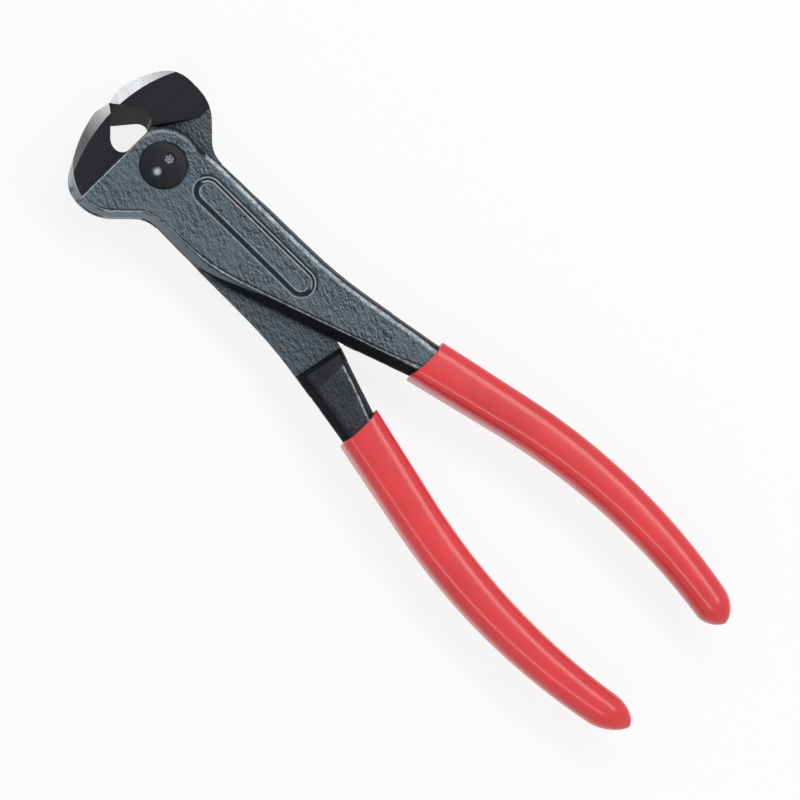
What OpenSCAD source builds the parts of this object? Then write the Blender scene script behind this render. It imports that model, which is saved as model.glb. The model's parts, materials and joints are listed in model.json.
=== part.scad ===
// End cutting nippers: two forged levers in a lap joint, a pivot rivet and two dipped handle sleeves.
// The jaws are closed. The handles run along +X and the rivet stands along +Z.

/* [Overall] */
// Length from the nose to the handle ends
overall_length = 200; // [185:1:215]
// Thickness of the lap joint and of the bare shanks
joint_t = 11; // [10:0.2:12]

/* [Jaws] */
// Length of the cutting edges, across the jaws
jaw_w = 27.2; // [25:0.2:29]
// Spread of the two closed jaws
head_spread = 40; // [38:0.5:42]
// Distance from the pivot to the cutting edges
edge_reach = 19.6; // [19:0.1:20.5]
// Distance that the nose stands ahead of the cutting edges
edge_setback = 1.1; // [0.8:0.1:1.4]
// Height of the outer bevel on each jaw
outer_bevel = 4; // [3:0.25:5]
// Nose radius in plan
nose_r = 30; // [27:0.5:34]
// Radius of the round outer side of a jaw
jaw_r = 10.2; // [9.8:0.1:10.6]
// Radius of the barrel-shaped ground lands
land_r = 50; // [46:1:56]
// Slope of the flanks between the joint faces and the lands
flank_slope = 0.9; // [0.84:0.02:0.96]
// Distance from the pivot to the line where the flanks would meet
flank_foot = 2.5; // [2:0.1:3]
// Length of the inner bevel along the jaw
inner_bevel = 1.95; // [1.6:0.05:2.3]
// Height of the inner bevel
inner_bevel_h = 1.5; // [1.2:0.05:1.7]
// Corner radius of the throat behind the edges
throat_r = 2.9; // [2.6:0.1:3.1]
// Width of the throat across both jaws
throat_w = 12.3; // [11.8:0.1:12.8]
// Distance from the pivot to the back wall of the throat
throat_back = 8.7; // [8.3:0.1:9]
// Radius between the neck and the waist
neck_r = 9; // [7:0.5:10]
// Width that the forging draft adds at mid height of a jaw and its neck
jaw_draft = 1.1; // [0.8:0.1:1.3]

/* [Joint] */
// Radius of the round lap lobe
lobe_r = 10; // [9.8:0.1:10.3]
// Half width of the waist behind the joint
waist_h = 10.6; // [10.4:0.1:11]
// Rivet shank diameter
rivet_d = 8.4; // [7.4:0.2:9]
// Rivet head diameter
rivet_head_d = 11.6; // [11:0.2:12.4]
// Depth of the counterbore for a rivet head
head_depth = 2.2; // [1.8:0.1:2.6]
// Depth that the rivet heads lie below the joint faces at their rim
head_sink = 0.35; // [0.3:0.05:0.5]
// Rise of the crowned rivet heads
head_crown = 0.25; // [0.15:0.05:0.3]
// Diameter of the two punch marks on the front rivet head
punch_d = 2.2; // [1.8:0.1:2.6]
// Distance between the punch marks
punch_gap = 4.3; // [4:0.1:4.8]

/* [Shanks] */
// Distance from the pivot to the point where the inner side starts to slant
slant_x = 26; // [24:0.5:28]
// Slope of the inner side of a shank
inner_slope = 0.35; // [0.34:0.005:0.37]
// Distance from the pivot to the point where the outer side starts to slant
outer_x = 50; // [47:0.5:53]
// Slope of the outer side of a shank
outer_slope = 0.18; // [0.16:0.005:0.2]
// Width that the forging draft adds at mid height on the inner side
inner_draft = 1.8; // [1.5:0.1:2.1]
// Width that the forging draft adds at mid height on the outer side
outer_draft = 1.5; // [1.2:0.1:1.8]
// Distance from the pivot to the step where a shank becomes a full bar
riser_x = 61.5; // [61:0.1:62.5]
// Run of the slanted face of the step
riser_run = 2; // [1.5:0.1:2.5]
// Angle of the step across the shank
riser_angle = 11.3; // [9:0.5:13]

/* [Panel] */
// Distance from the pivot to the near end of the recessed panel
panel_x = 9.1; // [8.5:0.1:10]
// Length of the recessed panel
panel_l = 38.9; // [34:0.5:40]
// Width of the recessed panel
panel_w = 6.5; // [5.5:0.1:7]
// Offset of the panel from the long axis
panel_y = 3.1; // [2.8:0.1:3.4]
// Depth of the recessed panel
panel_depth = 0.9; // [0.6:0.1:1.1]
// Run of the slanted walls of the panel
panel_run = 0.55; // [0.3:0.05:0.8]

/* [Handles] */
// Distance from the pivot to the sleeve mouths
mouth_x = 80.3; // [78:0.1:83]
// Angle of the straight part of a handle
handle_angle = 12.7; // [12:0.1:13.4]
// Length of the straight part of a handle behind the sleeve mouth
handle_straight = 25; // [20:1:30]
// Radius of the bow of a handle
bow_r = 170; // [155:5:200]
// Width of a bar near its end
bar_end_w = 7.6; // [7:0.1:8.4]
// Thickness of a bar near its end
bar_end_t = 8.8; // [8:0.1:9.6]
// Thickness of the sleeves
sleeve_t = 0.8; // [0.6:0.05:1]
// Length of the rounded end of a sleeve
end_round = 5.5; // [5:0.25:6]
// Thickness of the front sleeve behind its bar end
front_end_wall = 3.6; // [3.2:0.1:4]
// Thickness of the rear sleeve behind its bar end
rear_end_wall = 5.4; // [5:0.1:6]
// Slant of the front sleeve end across its handle
front_end_slant = 0.2; // [0:0.05:0.3]
// Slant of the rear sleeve end across its handle
rear_end_slant = 0.45; // [0.3:0.05:0.6]
// Width of the blunt tip of a sleeve, as a share of its full width
tip_share = 0.45; // [0.4:0.05:0.5]

/* [Fits] */
// Gap between the two lap faces
lap_gap = 0.1; // [0.06:0.02:0.16]
// Gap between the cutting edges
edge_gap = 0.1; // [0.06:0.02:0.16]
// Gap between a lobe and the shoulder of the other lever
shoulder_gap = 0.3; // [0.2:0.05:0.4]
// Radial clearance of the rivet shank in the rear lever
rivet_run = 0.05; // [0.03:0.01:0.08]
// Radial clearance of the rivet shank in the front lever
rivet_fast = 0.02; // [0.01:0.01:0.03]
// Radial clearance of the rivet heads in their counterbores
head_clear = 0.1; // [0.06:0.02:0.2]
// Clearance between a bar and its sleeve
sleeve_fit = 0.04; // [0.02:0.01:0.06]

/* [Hidden] */
$fn = 96;
half_t = joint_t / 2;
steel = [0.28, 0.33, 0.36];
dark_steel = [0.16, 0.16, 0.18];
red = [0.85, 0.22, 0.24];

// Plan of a jaw, built round the pivot
nose_c = [nose_r - edge_reach - edge_setback, 0];
bevel_turn = asin(outer_bevel / nose_r);
nose_reach = nose_r * cos(bevel_turn) - nose_c[0];
jaw_y = jaw_r - head_spread / 2;
jaw_c = [nose_c[0] - sqrt(pow(nose_r - jaw_r, 2) - jaw_y * jaw_y), jaw_y];
tangent_turn = 180 + atan2(nose_c[1] - jaw_c[1], nose_c[0] - jaw_c[0]);
neck_end = jaw_c + jaw_r * turn(-45);
neck_c = [neck_end[0] - neck_end[1] - waist_h - neck_r + neck_r * sqrt(2), -waist_h - neck_r];
throat_c = [-throat_back - throat_r, throat_r - throat_w / 2];
bevel_end = [inner_bevel - edge_reach, -inner_bevel_h];
to_throat = throat_c - bevel_end;
throat_turn = atan2(to_throat[1], to_throat[0]) - asin(throat_r / norm(to_throat)) - 90;
back_x = -throat_back;

// Positions along a handle
handle_end = overall_length - nose_reach;
bar_end = handle_end - rear_end_wall;
tip_half = tip_share * (bar_end_w / 2 + sleeve_t + sleeve_fit);
bar_start = 2;
bar_steps = 44;
end_steps = 6;

// Lengths over which edges, drafts and chamfers blend in along a shank
corner_blend = [6, 8];
lobe_blend = 14;
draft_blend = [16, 22];
chamfer_blend = [14, 12];

// Steps of the shank edges and chamfers
waist_step = 0.4;
lobe_step = 0.8;
lap_chamfer = 0.5;
bar_chamfer = 1.4;
parting_h = 0.8;

function mix(a, b, t) = a + (b - a) * t;
function turn(a) = [cos(a), sin(a)];
function arc(c, r, a, b, n) = [for (i = [0:n]) c + r * turn(mix(a, b, i / n))];
function ramp(t, k) = (t + sqrt(t * t + k * k)) / 2;
function lead(x, start, run) = min(1, max(0, (x - start) / run));

// Edges of the top face of the front shank
function shank_in(x) = inner_slope * ramp(x - slant_x, corner_blend[0]) - waist_h;
function waist_out(x) = waist_h - waist_step - lobe_step * pow(1 - lead(x, bar_start, lobe_blend), 2);
function shank_out(x) = waist_out(x) + outer_slope * ramp(x - outer_x, corner_blend[1]);
function draft_in(x) = mix(jaw_draft, inner_draft, lead(x, neck_c[0], draft_blend[0]));
function draft_out(x) = outer_draft * lead(x, bar_start, draft_blend[1]);

// Centre line and widths of the front bar behind the sleeve mouth
mouth_in = shank_in(mouth_x) - inner_draft;
mouth_out = shank_out(mouth_x) + outer_draft;
mouth_c = (mouth_in + mouth_out) / 2;
bow_start = mouth_x + handle_straight;
bow_mid = bow_start + bow_r * sin(handle_angle);
bow_top = mouth_c + handle_straight * tan(handle_angle) + bow_r * (1 - cos(handle_angle));
function bow_y(x) = bow_top - bow_r + sqrt(bow_r * bow_r - pow(x - bow_mid, 2));
function line_y(x) = mouth_c + (x - mouth_x) * tan(handle_angle);
function mid_y(x) = x < bow_start ? line_y(x) : bow_y(x);
function taper(x) = pow(lead(x, mouth_x, handle_end - mouth_x), 1.3);
function bar_w(x) = mix(mouth_out - mouth_in, bar_end_w, taper(x));
function bar_h(x) = mix(joint_t, bar_end_t, taper(x)) / 2;

// Mid-height edges, drafts and edge chamfer of the front bar at a station
function edge_in(x) = x < mouth_x ? shank_in(x) - draft_in(x) : mid_y(x) - bar_w(x) / 2;
function edge_out(x) = x < mouth_x ? shank_out(x) + draft_out(x) : mid_y(x) + bar_w(x) / 2;
function chamfer(x) =
    0.05 + (lap_chamfer - 0.05) * lead(x, neck_c[0], chamfer_blend[0])
    + (bar_chamfer - lap_chamfer) * lead(x, mouth_x - chamfer_blend[1] / 2, chamfer_blend[1]);

// Half of a bar section, from the top face round to the bottom face
function side(edge, s, draft, h, c) = [
    [edge - s * (draft + c), h],
    [edge - s * draft * (h - c) / h, h - c],
    [edge, parting_h],
    [edge, -parting_h],
    [edge - s * draft * (h - c) / h, c - h],
    [edge - s * (draft + c), -h]
];
function flip(v) = [for (i = [len(v) - 1:-1:0]) v[i]];

// Closed bar section at a station, grown by g and shrunk by k towards the centre line
function section(x, g, k) =
    let (h = bar_h(x) + g, c = chamfer(x) + 0.4 * g, m = (edge_in(x) + edge_out(x)) / 2)
    let (a = side(edge_out(x) + g, 1, draft_out(x), h, c), b = side(edge_in(x) - g, -1, draft_in(x), h, c))
    [for (p = concat(a, flip(b))) [x, m + k * (p[0] - m), k * p[1]]];

function join(v) = [for (r = v) for (p = r) p];
function strip(first, rings, n, back) = [
    for (i = [0:rings - 2])
        for (j = [0:n - 1])
            let (a = first + n * i + j, b = first + n * i + (j + 1) % n)
            for (f = back ? [[a, b + n, b], [a, a + n, b + n]] : [[a, b, b + n], [a, b + n, a + n]]) f
];
function count(first, n) = [for (j = [0:n - 1]) first + j];
function cap(first, n, back) = back ? [flip(count(first, n))] : [count(first, n)];

module place() {
    translate([nose_reach - overall_length / 2, 0, jaw_w / 2])
        children();
}

// Plan of the front jaw and its neck, grown by d where it is forged
function jaw_plan(d) = concat(
    [[-edge_reach, -edge_gap / 2]],
    arc(nose_c, nose_r, 180 + bevel_turn, tangent_turn, 8),
    [for (i = [0:16])
        let (a = mix(tangent_turn + 6, 315, i / 16), r = jaw_r + d * min(1, i / 5))
        jaw_c + r * turn(a)],
    arc(neck_c, neck_r - d, 135, 90, 6),
    [[neck_c[0], 0], [back_x, 0]],
    arc(throat_c, throat_r, 360, 360 + throat_turn, 10),
    [bevel_end]
);

// Forged block of a jaw and its neck, widest at mid height
module jaw_block() {
    levels = [[-jaw_w, 0], [-half_t, 0], [0, jaw_draft], [half_t, 0], [jaw_w, 0]];
    rings = [for (v = levels) [for (p = jaw_plan(v[1])) [p[0], p[1], v[0]]]];
    n = len(rings[0]);
    polyhedron(
        join(rings),
        concat(cap(0, n, false), strip(0, 5, n, true), cap(4 * n, n, true)),
        convexity = 8);
}

// Throat between the closed jaws
module throat_plan() {
    polygon(concat(
        [bevel_end],
        arc(throat_c, throat_r, 360 + throat_turn, 360, 10),
        arc([throat_c[0], -throat_c[1]], throat_r, 0, -throat_turn, 10),
        [[bevel_end[0], -bevel_end[1]]]
    ));
}

// Upper half of the lap joint
module lap_half() {
    intersection() {
        jaw_block();
        translate([-50, -50, lap_gap / 2])
            cube([100, 100, half_t - lap_gap / 2]);
    }
    translate([0, 0, lap_gap / 2])
        linear_extrude(half_t - lap_gap / 2)
            difference() {
                circle(lobe_r);
                throat_plan();
            }
}

// Jaw between the barrel lands and the flanks
module jaw() {
    difference() {
        intersection() {
            jaw_block();
            translate([0, 0, jaw_w / 2 - land_r])
                rotate([0, 90, 0])
                    cylinder(h = 4 * jaw_w, r = land_r, center = true);
            translate([0, 0, land_r - jaw_w / 2])
                rotate([0, 90, 0])
                    cylinder(h = 4 * jaw_w, r = land_r, center = true);
            rotate([90, 0, 0])
                linear_extrude(4 * jaw_w, center = true)
                    polygon([[-flank_foot, 0], [-flank_foot - 40, 40 * flank_slope],
                        [-flank_foot - 40, -40 * flank_slope]]);
        }
        rotate([0, 0, 210])
            translate([lobe_r + shoulder_gap - 60, -60, -60])
                cube([60, 120, 60 + lap_gap / 2]);
    }
}

// Handle bar, halved in front of the step
module bar() {
    xs = [for (i = [0:bar_steps]) mix(bar_start, bar_end, i / bar_steps)];
    difference() {
        polyhedron(
            join([for (x = xs) section(x, 0, 1)]),
            concat(cap(0, 12, true), strip(0, bar_steps + 1, 12, false), cap(12 * bar_steps, 12, false)),
            convexity = 6);
        translate([riser_x, shank_out(riser_x) / 2, 0])
            rotate([90, 0, riser_angle])
                linear_extrude(120, center = true)
                    polygon([[-70, lap_gap / 2], [0, lap_gap / 2],
                        [riser_run, -half_t - 1], [-70, -half_t - 1]]);
    }
}

// Recessed panel with slanted walls and round ends
module panel() {
    r1 = panel_w / 2 - panel_run;
    r2 = panel_w / 2 + panel_run;
    h = 2 * panel_depth;
    translate([panel_x + panel_w / 2, panel_y, half_t - panel_depth]) {
        cylinder(h = h, r1 = r1, r2 = r2);
        translate([panel_l - panel_w, 0, 0])
            cylinder(h = h, r1 = r1, r2 = r2);
        rotate([90, 0, 90])
            linear_extrude(panel_l - panel_w)
                polygon([[-r1, 0], [r1, 0], [r2, h], [-r2, h]]);
    }
}

module lever(clear) {
    difference() {
        union() {
            jaw();
            lap_half();
            bar();
        }
        cylinder(h = 2 * joint_t, d = rivet_d + 2 * clear, center = true);
        translate([0, 0, half_t - head_depth])
            cylinder(h = joint_t, d = rivet_head_d + 2 * head_clear);
        panel();
    }
}

// Share of the rounded end of a sleeve that lies behind a station, and the width left there
function tip(x, end_x) = lead(x, end_x - end_round, end_round);
function shrink(t) = sqrt(1 - (1 - tip_share * tip_share) * t * t);
function lean(v, x, slant) = [for (p = v) [p[0] + slant * (p[1] - mid_y(x)), p[1], p[2]]];

// Sleeve with a rounded, slanted end
module grip(end_x, slant) {
    out_x = concat(
        [for (i = [0:bar_steps]) mix(mouth_x, end_x - end_round, i / bar_steps)],
        [for (i = [1:end_steps]) end_x - end_round + end_round * sin(90 * i / end_steps)]);
    in_x = [for (i = [0:bar_steps]) mix(mouth_x, bar_end + sleeve_fit, i / bar_steps)];
    outs = [for (x = out_x)
        let (t = tip(x, end_x))
        lean(section(x, sleeve_t + sleeve_fit, shrink(t)), x, slant * t)];
    ins = [for (x = in_x) section(x, sleeve_fit, 1)];
    n = 12 * len(out_x);
    polyhedron(
        concat(join(outs), join(ins)),
        concat(
            strip(0, len(out_x), 12, false),
            cap(n - 12, 12, false),
            strip(n, len(in_x), 12, true),
            cap(n + 12 * bar_steps, 12, true),
            [for (j = [0:11]) [j, n + (j + 1) % 12, (j + 1) % 12]],
            [for (j = [0:11]) [j, n + j, n + (j + 1) % 12]]
        ),
        convexity = 8);
}

module front_lever() {
    color(steel)
        place()
            lever(rivet_fast);
}

module rear_lever() {
    color(steel)
        place()
            rotate([180, 0, 0])
                lever(rivet_run);
}

// Rivet with two crowned heads and two punch marks
module pivot_rivet() {
    head_r = rivet_head_d / 2;
    rim = half_t - head_sink;
    seat = half_t - head_depth + 0.02;
    crown_r = (head_r * head_r + head_crown * head_crown) / (2 * head_crown);
    color(dark_steel)
        place()
            difference() {
                union() {
                    cylinder(h = 2 * seat, d = rivet_d, center = true);
                    for (s = [0, 180])
                        rotate([s, 0, 0])
                            intersection() {
                                translate([0, 0, seat])
                                    cylinder(h = joint_t, r = head_r);
                                translate([0, 0, rim + head_crown - crown_r])
                                    sphere(crown_r);
                            }
                }
                for (s = [1, -1])
                    translate([0, s * punch_gap / 2, half_t])
                        sphere(d = punch_d);
            }
}

module front_grip() {
    color(red)
        place()
            grip(bar_end + front_end_wall, front_end_slant);
}

module rear_grip() {
    color(red)
        place()
            rotate([180, 0, 0])
                grip(handle_end - rear_end_slant * tip_half, -rear_end_slant);
}

front_lever();
rear_lever();
pivot_rivet();
front_grip();
rear_grip();
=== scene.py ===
"""Looks of end cutting nippers: forged levers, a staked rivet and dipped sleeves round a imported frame."""

import json
import math
from types import SimpleNamespace

import bmesh
import bpy
import numpy as np
from bpy.props import FloatProperty, FloatVectorProperty, IntProperty, PointerProperty
from mathutils import Matrix, Vector
from mathutils.kdtree import KDTree

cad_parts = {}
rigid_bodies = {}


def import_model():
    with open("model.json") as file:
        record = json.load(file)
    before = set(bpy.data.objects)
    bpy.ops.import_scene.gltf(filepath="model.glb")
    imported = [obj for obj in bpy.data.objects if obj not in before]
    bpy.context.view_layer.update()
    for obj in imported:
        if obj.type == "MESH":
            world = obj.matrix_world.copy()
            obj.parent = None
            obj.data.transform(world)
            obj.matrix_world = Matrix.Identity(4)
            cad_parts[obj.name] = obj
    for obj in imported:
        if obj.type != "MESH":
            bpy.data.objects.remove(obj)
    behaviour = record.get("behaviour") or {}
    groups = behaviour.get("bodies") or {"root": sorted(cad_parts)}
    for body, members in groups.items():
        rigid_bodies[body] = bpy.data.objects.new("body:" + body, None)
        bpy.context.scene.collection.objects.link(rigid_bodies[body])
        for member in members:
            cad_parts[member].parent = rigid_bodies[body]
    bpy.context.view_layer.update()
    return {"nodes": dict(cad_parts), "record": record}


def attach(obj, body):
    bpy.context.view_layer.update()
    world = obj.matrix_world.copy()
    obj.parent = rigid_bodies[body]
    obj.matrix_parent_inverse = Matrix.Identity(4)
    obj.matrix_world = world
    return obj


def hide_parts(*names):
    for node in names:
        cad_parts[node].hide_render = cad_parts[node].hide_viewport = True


bl_info = {
    "name": "End Cutting Nippers",
    "version": (1, 0, 0),
    "blender": (4, 5, 0),
    "location": "View3D > Sidebar > Nippers",
    "description": "Builds forged end cutting nippers with dipped handle sleeves",
    "category": "Add Mesh",
}

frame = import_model()

MM = 0.001
PIVOT = np.array(frame["record"]["behaviour"]["joints"][0]["pos_m"])
TURNED_OVER = np.array((1, -1, -1))
WHITE = (1.0, 1.0, 1.0, 1.0)
LEVER_FINISHES = ("Forged skin", "Blackened flank", "Ground steel", "Ground lap face", "Blackened wall")
SKIN, FLANK, GROUND, LAP, WALL = range(len(LEVER_FINISHES))
# Edges that turn by more than this stay hard, in radians.
STEEL_EDGE, SLEEVE_EDGE = 0.6, 0.8
# A face lies on a surface when its centre is this near, in millimetres.
FACE_FIT = 0.06
# Machined faces grow by this before the exact solid trims them, in millimetres.
CUT_OVER = 0.45
# A trimmed lever with fewer faces than this has failed.
LEAST_FACES = 1000
# Points this near are one, and faces thinner than a sliver go, in metres.
WELD, SLIVER = 2e-6, 1e-7
# Points round the rivet, and rings along the body and the tip of a sleeve.
RIVET_POINTS, BODY_RINGS, TIP_RINGS = 160, 130, 36
# The rounded lip of a sleeve: millimetres behind its face, and share of the full section.
LIP_BACK = (0.0, 0.02, 0.06, 0.14, 0.26, 0.42)
LIP_SHARE = (0.85, 0.945, 0.968, 0.984, 0.995, 1.0)
# Half the side of the floor and its depth under the tool, in metres.
FLOOR_HALF, FLOOR_DROP = 3.0, 0.0004
# Share of the floor's own white that the camera sees.
FLOOR_WHITE = 0.85


def length(name, value, low, high, note):
    """A length, given in millimetres and kept in metres."""
    return FloatProperty(name=name, description=note, default=value * MM, min=low * MM, max=high * MM,
                         precision=5, unit="LENGTH")


def ratio(name, value, low, high, note):
    return FloatProperty(name=name, description=note, default=value, min=low, max=high, precision=3)


def angle(name, value, low, high, note):
    """An angle, given in degrees and kept in radians."""
    low, value, high = (math.radians(v) for v in (low, value, high))
    return FloatProperty(name=name, description=note, default=value, min=low, max=high, subtype="ANGLE")


def colour(name, value, note):
    return FloatVectorProperty(name=name, description=note, default=value, min=0, max=1, size=3,
                               subtype="COLOR")


class NipperSizes(bpy.types.PropertyGroup):
    """Sizes of the forgings, the rivet and the sleeves, with places measured from the pivot."""

    joint_t: length("Joint thickness", 11.0, 10, 12, "Thickness of the closed lap joint")
    lap_gap: length("Lap gap", 0.1, 0.06, 0.16, "Gap between the two lap faces")
    shoulder_r: length("Shoulder reach", 10.3, 10, 11, "Distance of the lap shoulder from the pivot")
    shoulder_turn: angle("Shoulder angle", 30.0, 20, 40, "Direction that the lap shoulder faces")
    jaw_w: length("Jaw width", 27.2, 25, 29, "Width of the jaws along their cutting edges")
    land_r: length("Land radius", 50.0, 46, 56, "Radius of the ground lands")
    flank_slope: ratio("Flank slope", 0.9, 0.84, 0.96, "Rise of the black flanks towards the nose")
    flank_foot: length("Flank foot", 2.5, 2, 3, "Start of the flanks ahead of the pivot")
    nose_r: length("Nose radius", 30.0, 27, 34, "Radius of the ground nose")
    nose_x: length("Nose reach", 20.7, 20, 22, "Reach of the nose circle ahead of the pivot")
    throat_back: length("Throat back wall", 8.7, 8.3, 9, "Back wall of the throat ahead of the pivot")
    riser_x: length("Riser position", 61.5, 61, 62.5, "Step from the lap face to the back of the bar")
    panel_x: length("Panel start", 9.1, 8.5, 10, "Start of the recessed panel")
    panel_l: length("Panel length", 38.9, 34, 40, "Length of the recessed panel")
    panel_w: length("Panel width", 6.5, 5.5, 7, "Width of the recessed panel")
    panel_y: length("Panel offset", 3.1, 2.8, 3.4, "Offset of the panel towards its own handle")
    voxel: length("Forging grain", 0.3, 0.2, 0.6, "Size of the cells that round the forged skin")
    soften: IntProperty(name="Edge softening", description="Smoothing steps on forged edges",
                        default=5, min=0, max=20)
    skin_sink: length("Skin sink", 0.04, 0, 0.1, "Depth of the forged skin below the machined solid")
    hammer_depth: length("Hammer mark depth", 0.12, 0, 0.4, "Depth of the hammer marks")
    hammer_size: length("Hammer mark size", 1.4, 0.5, 4, "Width of a hammer mark")
    head_d: length("Rivet head diameter", 11.6, 11, 12.4, "Diameter of the rivet head")
    head_sink: length("Rivet head sink", 0.35, 0.3, 0.5, "Rim of the rivet head below the joint face")
    head_crown: length("Rivet head crown", 0.25, 0.15, 0.3, "Rise of the rivet head over its rim")
    head_t: length("Rivet head thickness", 1.7, 1.2, 2.2, "Height of the rivet head's rim")
    rivet_d: length("Rivet diameter", 8.4, 7.4, 9, "Diameter of the rivet's shank")
    punch_gap: length("Punch mark distance", 4.3, 4, 4.8, "Distance between the two punch marks")
    punch_r: length("Punch mark radius", 1.25, 0.8, 1.4, "Radius of a punch mark")
    punch_depth: length("Punch mark depth", 0.4, 0.2, 0.6, "Depth of a punch mark")
    mouth_x: length("Sleeve mouth", 80.3, 78, 83, "Place of the sleeve mouths")
    mouth_y: length("Sleeve mouth offset", 11.955, 11, 13, "Offset of a sleeve mouth from the long axis")
    lip: length("Sleeve lip", 0.5, 0, 1, "Reach of the lip ahead of the sleeve mouth")
    cove: length("Mouth hollow", 0.8, 0, 1.5, "Hollow of the sleeve mouth between its upper and lower edge")
    front_end: length("Front sleeve end", 178.9, 170, 185, "Place of the front sleeve's tip")
    front_slant: ratio("Front end slant", 0.2, 0, 0.3, "Lean of the front sleeve's tip")
    front_round: length("Front end rounding", 6.6, 5, 9, "Length over which the front sleeve closes")
    front_blunt: ratio("Front end bluntness", 2.0, 1.2, 3, "Fullness of the front sleeve's tip")
    rear_end: length("Rear sleeve end", 179.5, 170, 185, "Place of the rear sleeve's tip")
    rear_slant: ratio("Rear end slant", 0.0, 0, 0.3, "Lean of the rear sleeve's tip")
    rear_round: length("Rear end rounding", 8.0, 5, 9, "Length over which the rear sleeve closes")
    rear_blunt: ratio("Rear end bluntness", 1.9, 1.2, 3, "Fullness of the rear sleeve's tip")
    handle_angle: angle("Handle angle", 12.7, 12, 13.4, "Angle of a handle to the long axis at its mouth")
    handle_straight: length("Straight handle part", 25.0, 20, 30, "Straight stretch behind the sleeve mouth")
    bow_r: length("Handle bow radius", 170.0, 155, 200, "Radius of the bowed handle")
    sleeve_w: length("Mouth width", 12.25, 12, 13.5, "Width of a sleeve at its mouth")
    sleeve_h: length("Mouth height", 12.66, 12, 13.5, "Height of a sleeve at its mouth")
    end_w: length("End width", 9.28, 8.5, 10, "Width of a sleeve before its tip")
    end_h: length("End height", 10.46, 9.5, 11, "Height of a sleeve before its tip")
    mouth_square: ratio("Mouth squareness", 4.0, 2, 6, "Power of the section at the mouth, where 2 is round")
    end_square: ratio("End squareness", 2.2, 2, 6, "Power of the section at the end, where 2 is round")


class NipperColours(bpy.types.PropertyGroup):
    """Base colours of the finishes."""

    skin: colour("Forged skin", (0.080, 0.112, 0.136), "Blue-grey skin of the forgings")
    # Painted highlight on the slopes of the relief that face the light.
    ridge_highlight: colour("Skin ridges", (0.30, 0.35, 0.38), "Lit ridges of the skin")
    # Colour of pitting, and of painted shade on shaded slopes, in hollows, creases and gaps and on the panel
    # walls.
    pits_and_shade: colour("Skin pits", (0.008, 0.010, 0.014), "Pits and shaded hollows of the skin")
    # Blackened back of a bar, also painted shade on the wall facing the other handle.
    tar_and_painted_shade: colour("Black back", (0.026, 0.027, 0.032), "Black back of a handle bar")
    # Also the colour of the dull wall finish, painted shade in the throat, along the shoulder and on the
    # walls facing the other handle.
    flank: colour("Blackened flank", (0.013, 0.0138, 0.0175), "Flanks of the jaws and dark walls")
    ground: colour("Ground steel", (0.345, 0.353, 0.361), "Ground lands and nose")
    lap: colour("Lap face", (0.066, 0.085, 0.100), "Face of the lap joint")
    # Worn uncoated steel, also painted highlights along the edges and on the panel rims, and a painted glint
    # in a punch mark of the rivet.
    wear_and_highlight: colour("Worn edge", (0.50, 0.54, 0.57), "Bare steel along worn edges")
    rivet: colour("Rivet", (0.014, 0.0145, 0.018), "Black rivet head")
    red: colour("Sleeve red", (0.82, 0.046, 0.053), "Dipped coating of the sleeves")
    floor: colour("Floor", (0.93, 0.93, 0.93), "Pale matt floor")


def sizes():
    """The sizes as plain numbers, with lengths in millimetres and angles in radians."""
    group = bpy.context.scene.nipper_sizes
    plain = {}
    for key in NipperSizes.__annotations__:
        value = getattr(group, key)
        plain[key] = round(value / MM, 4) if group.bl_rna.properties[key].unit == "LENGTH" else value
    return SimpleNamespace(**plain)


def colours():
    return bpy.context.scene.nipper_colours


def feed(tree, socket, value):
    """Links a socket or sets its constant."""
    if isinstance(value, bpy.types.NodeSocket):
        tree.links.new(value, socket)
    else:
        socket.default_value = value


def dress(tree, node, ins):
    """Links or sets several inputs of a node."""
    for key, value in ins.items():
        feed(tree, node.inputs[key], value)


def add(tree, kind, ins=None, **props):
    """Adds a node with its properties and inputs."""
    n = tree.nodes.new(kind)
    for key, value in props.items():
        setattr(n, key, value)
    dress(tree, n, ins or {})
    return n


def calc(tree, operation, *values):
    return add(tree, "ShaderNodeMath", dict(enumerate(values)), operation=operation).outputs[0]


def times(tree, value, *others):
    """Product of two or more values."""
    for other in others:
        value = calc(tree, "MULTIPLY", value, other)
    return value


def most(tree, value, *others):
    """Greatest of two or more values."""
    for other in others:
        value = calc(tree, "MAXIMUM", value, other)
    return value


def vec(tree, operation, *values):
    return add(tree, "ShaderNodeVectorMath", dict(enumerate(values)), operation=operation).outputs[0]


def scaled(tree, vector, factor):
    """Multiplies a vector or a colour by one factor."""
    return add(tree, "ShaderNodeVectorMath", {0: vector, "Scale": factor}, operation="SCALE").outputs[0]


def stored_mask(tree, name):
    """Reads a mask that is stored on the mesh."""
    return add(tree, "ShaderNodeAttribute", attribute_name=name).outputs["Fac"]


def span(tree, value, low, high, to_low=0.0, to_high=1.0):
    """Maps a range of values to another and stays inside it."""
    n = add(tree, "ShaderNodeMapRange", {0: value, 1: low, 2: high, 3: to_low, 4: to_high})
    return n.outputs[0]


def noise(tree, vector, scale, detail=2.0, rough=0.5):
    ins = {"Vector": vector, "Scale": scale, "Detail": detail, "Roughness": rough}
    return add(tree, "ShaderNodeTexNoise", ins).outputs["Fac"]


def blend(tree, factor, a, b):
    """Mixes two colours and returns the colour socket."""
    n = add(tree, "ShaderNodeMix", data_type="RGBA")
    feed(tree, n.inputs[0], factor)
    for socket, value in ((n.inputs[6], a), (n.inputs[7], b)):
        feed(tree, socket, value if isinstance(value, bpy.types.NodeSocket) else (*value, 1.0))
    return n.outputs[2]


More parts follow.
